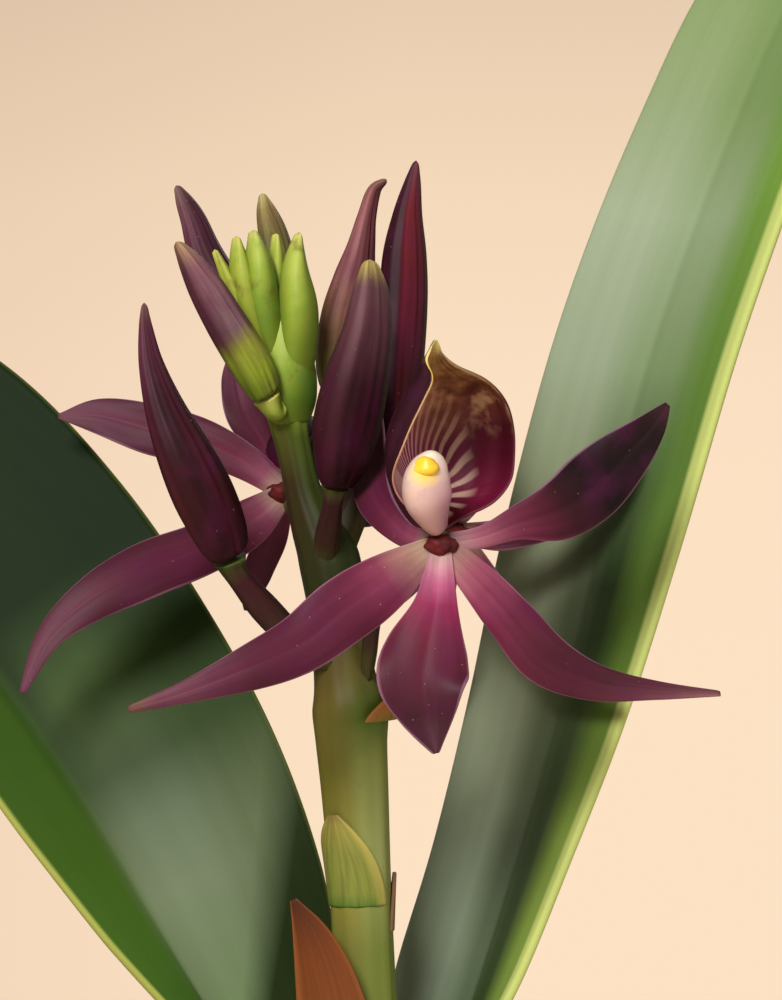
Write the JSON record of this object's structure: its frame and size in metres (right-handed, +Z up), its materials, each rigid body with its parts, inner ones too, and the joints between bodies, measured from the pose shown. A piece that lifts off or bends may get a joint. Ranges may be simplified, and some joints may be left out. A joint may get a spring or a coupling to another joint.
{
  "type": "potted guarechea orchid",
  "caption": "Potted orchid in a plain clay pot: ribbed pseudobulbs in bark, strap leaves, and an upright stem of hooded wine-red blooms and pointed buds.",
  "frame": {"origin": "centre of the pot's foot, on the surface it stands on", "axes": "+Z up; the front bloom looks along -Y; +X is the viewer's right"},
  "size_m": [0.1912, 0.1537, 0.3406],
  "materials": {
    "clay": "matt, unglazed terracotta",
    "bark": "rough fir bark chips",
    "root": "matt white velamen over a green core",
    "bulb": "satin, ribbed green",
    "papery": "dry, fibrous, matt",
    "leaf": "satin green with a pale margin",
    "stem": "satin olive green",
    "young": "satin yellow-green",
    "petal": "satin wine red, paler at the claw",
    "lip": "satin maroon with cream stripes",
    "column": "waxy white flushed pink",
    "cap": "waxy yellow",
    "bud": "satin purple-brown",
    "husk": "dry brown bract"
  },
  "bodies": {
    "root": {"pot": "clay", "potting_bark": "bark", "rhizome_and_roots": "root", "pseudobulb_lead": "bulb", "pseudobulb_middle": "bulb", "pseudobulb_old": "bulb", "sheath_lead_front": "papery", "sheath_lead_back": "papery", "sheath_middle_front": "papery", "sheath_old_front": "papery", "leaf_left": "leaf", "leaf_right": "leaf", "leaf_low_left": "leaf", "leaf_low_front": "leaf", "flower_stem": "stem", "stem_tip": "young", "spathe": "husk", "stem_bract_low": "stem", "stem_bract_dry": "husk", "stem_bract_node": "husk", "bud_front": "bud", "bud_tall": "bud", "bud_hooked": "bud", "bud_left": "bud", "bud_upper_left": "bud", "bud_rear_left": "bud", "bud_rear": "bud", "front_bloom_tepals": "petal", "front_bloom_lip": "lip", "front_bloom_column": "column", "front_bloom_anther_cap": "cap", "side_bloom_tepals": "petal", "side_bloom_lip": "lip", "side_bloom_column": "column", "side_bloom_anther_cap": "cap", "rear_bloom_tepals": "petal", "rear_bloom_lip": "lip", "rear_bloom_column": "column", "rear_bloom_anther_cap": "cap"}
  },
  "joints": []
}
